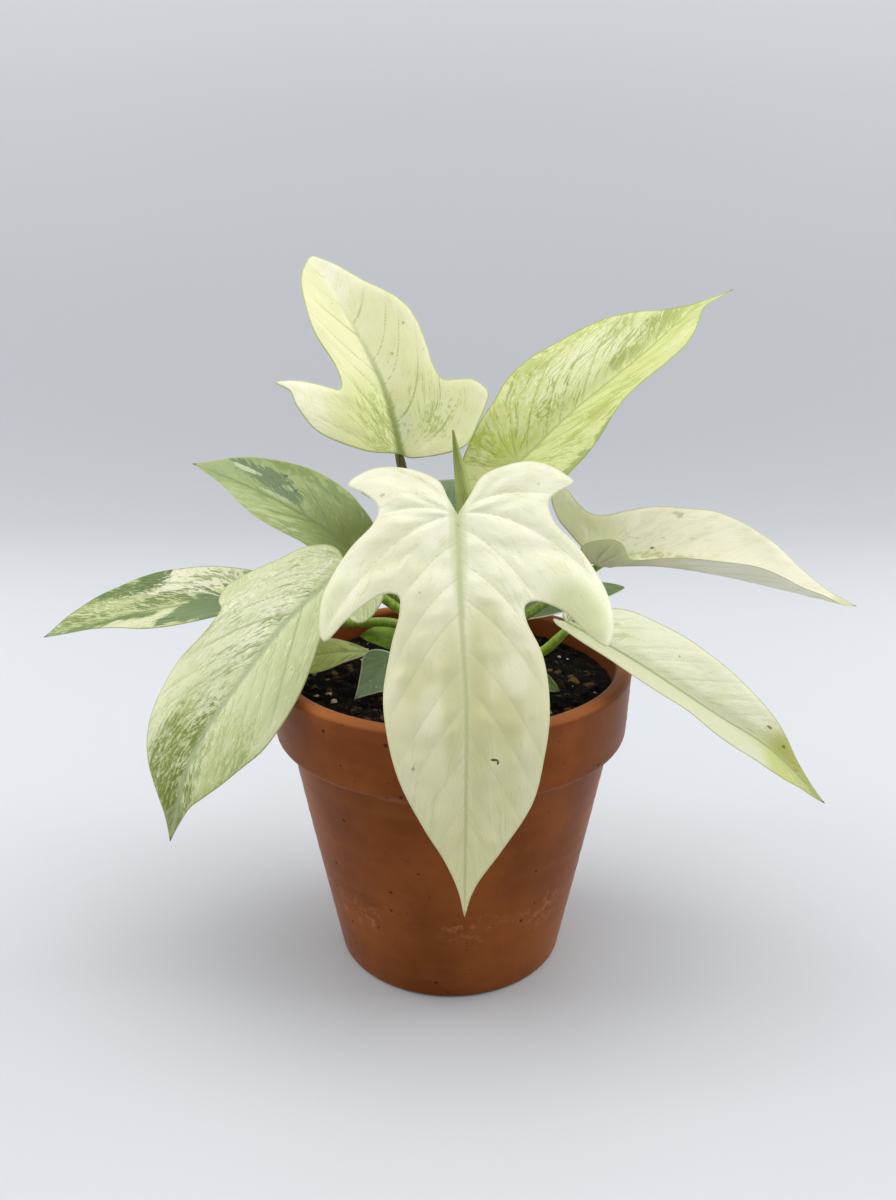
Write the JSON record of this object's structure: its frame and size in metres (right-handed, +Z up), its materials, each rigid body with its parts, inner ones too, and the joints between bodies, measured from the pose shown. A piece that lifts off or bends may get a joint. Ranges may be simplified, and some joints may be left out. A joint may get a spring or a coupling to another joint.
{
  "type": "potted variegated philodendron",
  "caption": "Young climbing foliage plant with pale lobed leaves on thin stalks, rooted in a tapered clay pot with a thick rim.",
  "frame": {"origin": "on the surface that the pot stands on, under the middle of the whole plant's box, which is within 1 mm of the pot's axis", "axes": "+Z up along the pot's axis, -Y towards the front leaf that hangs over the rim, +X to the right as seen from the front"},
  "size_m": [0.3062, 0.179, 0.2547],
  "materials": {
    "clay": "unglazed fired clay",
    "soil": "moist bark and peat mix",
    "stalk": "smooth green stalk",
    "leaf": "satin leaf, cream and green"
  },
  "bodies": {
    "root": {"pot": "clay", "soil": "soil", "stem": "stalk", "spear": "stalk", "blade_front": "leaf", "stalk_front": "stalk", "blade_upper_left": "leaf", "stalk_upper_left": "stalk", "blade_upper_right": "leaf", "stalk_upper_right": "stalk", "blade_right": "leaf", "stalk_right": "stalk", "blade_lower_right": "leaf", "stalk_lower_right": "stalk", "blade_lower_left": "leaf", "stalk_lower_left": "stalk", "blade_far_left": "leaf", "stalk_far_left": "stalk", "blade_mid_left": "leaf", "stalk_mid_left": "stalk", "blade_back": "leaf", "stalk_back": "stalk", "blade_back_right": "leaf", "stalk_back_right": "stalk", "blade_small_left": "leaf", "stalk_small_left": "stalk", "blade_small_front": "leaf", "stalk_small_front": "stalk", "blade_small_back": "leaf", "stalk_small_back": "stalk", "blade_small_right": "leaf", "stalk_small_right": "stalk"}
  },
  "joints": []
}
